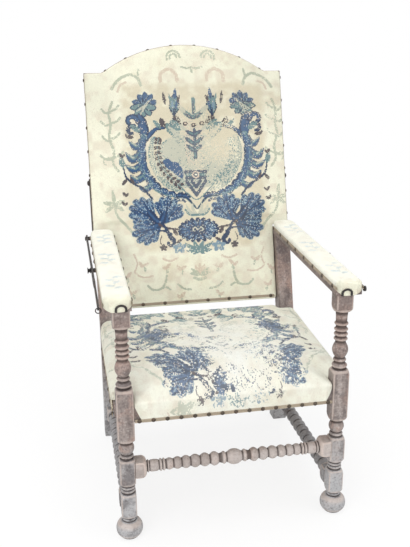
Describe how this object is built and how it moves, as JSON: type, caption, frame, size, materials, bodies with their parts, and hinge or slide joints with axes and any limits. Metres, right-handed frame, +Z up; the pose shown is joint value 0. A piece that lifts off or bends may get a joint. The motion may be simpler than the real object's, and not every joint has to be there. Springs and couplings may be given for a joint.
{
  "type": "reclining armchair",
  "caption": "Tall upholstered invalid chair on turned legs, with a hinged arched back that leans down on slotted iron stays beside the padded arms.",
  "frame": {"origin": "on the floor, in the middle of the chair's footprint box", "axes": "+Z up, +Y towards the back, +X to the right of a viewer in front of the chair"},
  "size_m": [0.692, 0.7906, 1.2373],
  "materials": {
    "wood": "aged, worn polish",
    "needlework": "wool needlework on canvas, worn",
    "linen": "plain woven linen",
    "braid": "narrow galloon under domed nails",
    "iron": "dark forged iron"
  },
  "bodies": {
    "frame": {"front_leg_left": "wood", "front_leg_right": "wood", "rear_leg_left": "wood", "rear_leg_right": "wood", "front_stretcher": "wood", "side_stretcher_left": "wood", "side_stretcher_right": "wood", "rear_stretcher": "wood", "seat_rail_front": "wood", "seat_rail_rear": "wood", "seat_rail_left": "wood", "seat_rail_right": "wood", "seat_webbing": "linen", "seat_pad": "needlework", "seat_braid_front": "braid", "seat_braid_left": "braid", "seat_braid_right": "braid", "arm_rail_left": "wood", "arm_rail_right": "wood", "arm_pad_left": "needlework", "arm_pad_right": "needlework", "arm_braid_inner_left": "braid", "arm_braid_inner_right": "braid", "arm_braid_outer_left": "braid", "arm_braid_outer_right": "braid", "front_strap_left": "iron", "front_strap_right": "iron", "stay_peg_left": "iron", "stay_peg_right": "iron", "hinge_pin_left": "iron", "hinge_pin_right": "iron"},
    "back": {"back_stile_left": "wood", "back_stile_right": "wood", "back_rail_bottom": "wood", "back_rail_middle": "wood", "back_rail_top": "wood", "back_pad": "needlework", "back_cloth": "linen", "back_braid_bottom": "braid", "back_braid_edge": "braid", "back_strap_left": "iron", "back_strap_right": "iron", "strap_stud_left": "iron", "strap_stud_right": "iron", "stay_rivet_left": "iron", "stay_rivet_right": "iron"},
    "stay_left": {"stay_bar_left": "iron"},
    "stay_right": {"stay_bar_right": "iron"},
    "ring": {"stay_ring": "iron"}
  },
  "joints": [
    {"name": "recline", "type": "hinge", "parent": "frame", "child": "back", "pos_m": [0, 0.17359, 0.46852], "axis": [-1, 0, 0], "range_deg": [0, 40]},
    {"name": "stay_left_turn", "type": "hinge", "parent": "back", "child": "stay_left", "pos_m": [-0.3335, 0.23076, 0.66084], "axis": [-1, 0, 0], "range_deg": [-28.91, 0]},
    {"name": "stay_right_turn", "type": "hinge", "parent": "back", "child": "stay_right", "pos_m": [0.3335, 0.23076, 0.66084], "axis": [-1, 0, 0], "range_deg": [-28.91, 0]},
    {"name": "ring_swing", "type": "hinge", "parent": "stay_left", "child": "ring", "pos_m": [-0.3335, -0.37215, 0.64338], "axis": [1, 0, 0], "range_deg": [-60, 60]}
  ],
  "couplings": [
    {"joint": "stay_left_turn", "follows": "recline", "ratio": -0.72254},
    {"joint": "stay_right_turn", "follows": "recline", "ratio": -0.72254}
  ]
}
